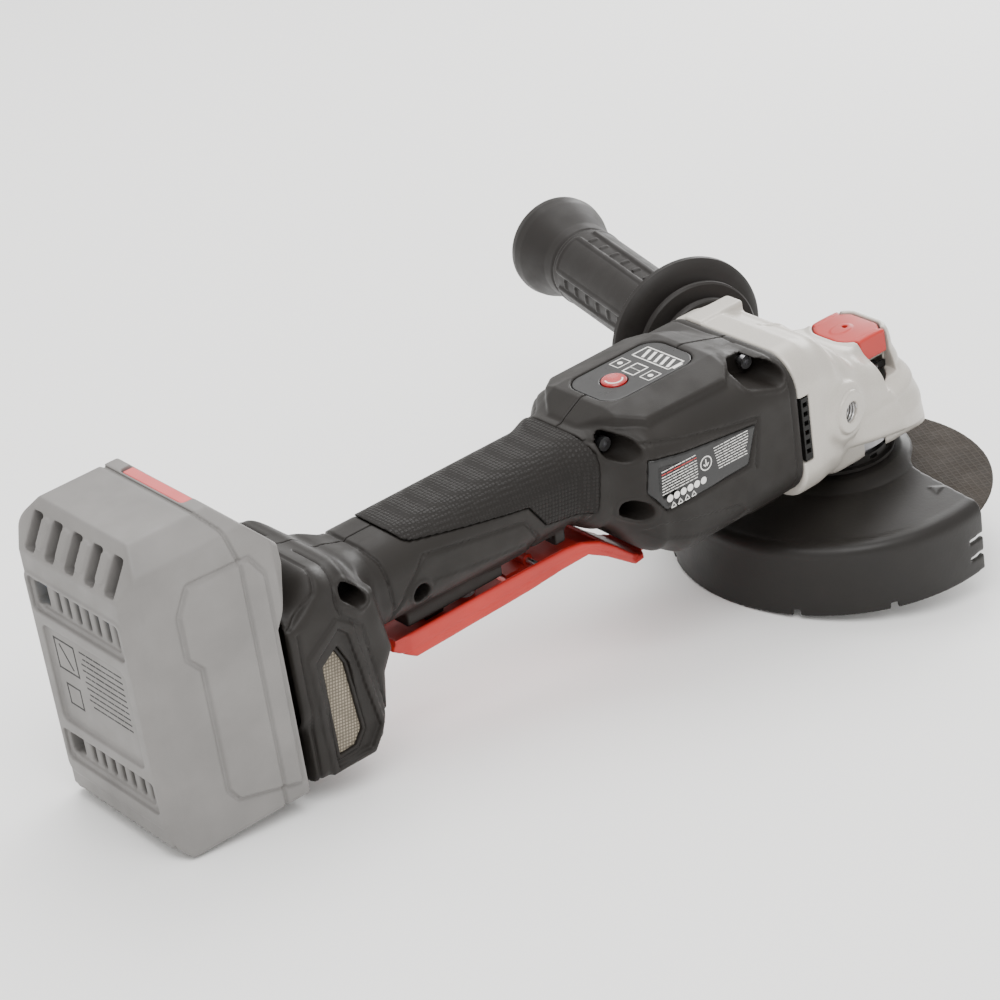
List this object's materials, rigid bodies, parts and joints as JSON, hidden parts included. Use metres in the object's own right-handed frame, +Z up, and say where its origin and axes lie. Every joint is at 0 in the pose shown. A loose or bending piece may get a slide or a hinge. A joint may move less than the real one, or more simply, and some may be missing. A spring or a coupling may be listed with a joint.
{
  "type": "angle grinder",
  "caption": "Cordless paddle-switch angle grinder with side handle, adjustable disc guard, geared spindle and slide-on battery pack.",
  "frame": {"origin": "bottom centre of the bounding box, on the surface that the tool stands on with its guard rim and the battery's rear edge", "axes": "+Z up; +X towards the disc, with the tool's own axis leaning 9.12 degrees nose-up; +Y towards the side handle"},
  "size_m": [0.4248, 0.254, 0.124],
  "materials": {
    "housing_plastic": "fine spark-eroded moulding texture",
    "screw_steel": "blackened",
    "grip_rubber": "soft overmould with raised dots",
    "panel_film": "printed film",
    "button_red": "gloss",
    "label_film": "printed film",
    "filter_frame": "fine texture",
    "filter_mesh": "woven dust mesh",
    "rail_plastic": "plain moulding",
    "contact_brass": "plain",
    "cast_case": "silver paint over die-cast aluminium",
    "vent_plastic": "plain moulding",
    "inner_cast": "as cast",
    "stator_steel": "laminated",
    "winding_copper": "enamelled copper",
    "rotor_steel": "laminated",
    "shaft_steel": "ground",
    "fan_plastic": "plain moulding",
    "bearing_steel": "ground",
    "gear_steel": "hardened",
    "seal_rubber": "plain",
    "red_plastic": "satin moulding",
    "spring_steel": "drawn wire",
    "guard_paint": "black powder coat",
    "flange_steel": "zinc plated",
    "disc_abrasive": "bonded abrasive with glass net",
    "handle_plastic": "fine texture",
    "switch_plastic": "plain moulding",
    "board_resin": "potted board",
    "battery_plastic": "fine texture, light grey",
    "latch_plastic": "satin moulding",
    "cell_wrap": "shrink wrap"
  },
  "bodies": {
    "tool": {"housing_left": "housing_plastic", "housing_right": "housing_plastic", "housing_screws": "screw_steel", "rubber_grip": "grip_rubber", "control_panel": "panel_film", "rating_plate": "label_film", "filter_frame_left": "filter_frame", "filter_frame_right": "filter_frame", "filter_mesh_left": "filter_mesh", "filter_mesh_right": "filter_mesh", "battery_rail": "rail_plastic", "tool_terminals": "contact_brass", "gear_case": "cast_case", "gear_case_screws": "screw_steel", "vent_grilles": "vent_plastic", "inner_cover": "inner_cast", "stator_core": "stator_steel", "stator_windings": "winding_copper", "front_bearing": "bearing_steel", "rear_bearing": "bearing_steel", "upper_bearing": "bearing_steel", "lower_bearing": "bearing_steel", "bearing_box": "inner_cast", "bearing_box_screws": "screw_steel", "dust_seal": "seal_rubber", "lock_spring": "spring_steel", "guard_lever_pin": "shaft_steel", "paddle_pin": "shaft_steel", "switch_body": "switch_plastic", "controller": "board_resin"},
    "rotor": {"rotor_core": "rotor_steel", "rotor_shaft": "shaft_steel", "fan": "fan_plastic", "pinion": "gear_steel"},
    "spindle": {"spindle": "shaft_steel", "bevel_gear": "gear_steel", "inner_flange": "flange_steel", "disc": "disc_abrasive", "disc_ring": "flange_steel", "lock_nut": "flange_steel"},
    "guard": {"guard": "guard_paint", "guard_collar": "guard_paint"},
    "guard_lever": {"guard_lever": "guard_paint"},
    "lock_button": {"lock_button": "red_plastic", "lock_pin": "shaft_steel"},
    "power_button": {"power_button": "button_red"},
    "side_handle": {"side_grip": "handle_plastic", "hand_guard": "handle_plastic", "side_stud": "shaft_steel"},
    "paddle": {"paddle": "red_plastic", "lock_off_pin": "shaft_steel", "paddle_spring": "spring_steel"},
    "lock_off": {"lock_off_lever": "red_plastic"},
    "switch_plunger": {"switch_plunger": "switch_plastic"},
    "battery": {"battery_case_rear": "battery_plastic", "battery_case_front": "battery_plastic", "battery_cells": "cell_wrap", "battery_contacts": "contact_brass", "battery_screws": "screw_steel"},
    "battery_latch": {"battery_latch": "latch_plastic"}
  },
  "joints": [
    {"name": "spindle_spin", "type": "hinge", "parent": "tool", "child": "spindle", "pos_m": [0.14136, -0.05748, 0.08645], "axis": [-0.1584, 0, 0.9874], "continuous": true},
    {"name": "rotor_spin", "type": "hinge", "parent": "tool", "child": "rotor", "pos_m": [0.06237, -0.05748, 0.07377], "axis": [0.9874, 0, 0.1584], "continuous": true},
    {"name": "guard_turn", "type": "hinge", "parent": "tool", "child": "guard", "pos_m": [0.14769, -0.05748, 0.04695], "axis": [-0.1584, 0, 0.9874], "range_deg": [-90, 90]},
    {"name": "guard_lever_press", "type": "hinge", "parent": "tool", "child": "guard_lever", "pos_m": [0.17498, -0.05748, 0.06308], "axis": [0, 1, 0], "range_deg": [0, 12], "stiffness_Nm_per_rad": 0.05, "springref_deg": -5.73},
    {"name": "lock_press", "type": "slide", "parent": "tool", "child": "lock_button", "axis": [0.1584, 0, -0.9874], "range_m": [0, 0.0025], "stiffness_N_per_m": 600, "springref_m": -0.002},
    {"name": "power_press", "type": "slide", "parent": "tool", "child": "power_button", "axis": [0.1584, 0, -0.9874], "range_m": [0, 0.0008], "stiffness_N_per_m": 500, "springref_m": -0.001},
    {"name": "side_handle_out", "type": "slide", "parent": "tool", "child": "side_handle", "axis": [0.2322, 0.972, 0.0373], "range_m": [0, 0.03]},
    {"name": "paddle_squeeze", "type": "hinge", "parent": "tool", "child": "paddle", "pos_m": [0.0719, -0.05748, 0.04593], "axis": [0, 1, 0], "range_deg": [0, 2.5], "stiffness_Nm_per_rad": 12, "springref_deg": -5.73},
    {"name": "lock_off_push", "type": "hinge", "parent": "paddle", "child": "lock_off", "pos_m": [-0.01775, -0.05748, 0.04917], "axis": [0, 1, 0], "range_deg": [0, 14], "stiffness_Nm_per_rad": 0.05, "springref_deg": -5.73},
    {"name": "switch_travel", "type": "slide", "parent": "tool", "child": "switch_plunger", "axis": [-0.1584, 0, 0.9874], "range_m": [0, 0.0059]},
    {"name": "battery_slide", "type": "slide", "parent": "tool", "child": "battery", "axis": [-0.1584, 0, 0.9874], "range_m": [0, 0.07]},
    {"name": "latch_press", "type": "slide", "parent": "battery", "child": "battery_latch", "axis": [0.1584, 0, -0.9874], "range_m": [0, 0.004], "stiffness_N_per_m": 800, "springref_m": -0.002}
  ],
  "couplings": [
    {"joint": "rotor_spin", "follows": "spindle_spin", "ratio": -3.4444},
    {"joint": "switch_travel", "follows": "paddle_squeeze", "m_per_rad": 0.132}
  ]
}
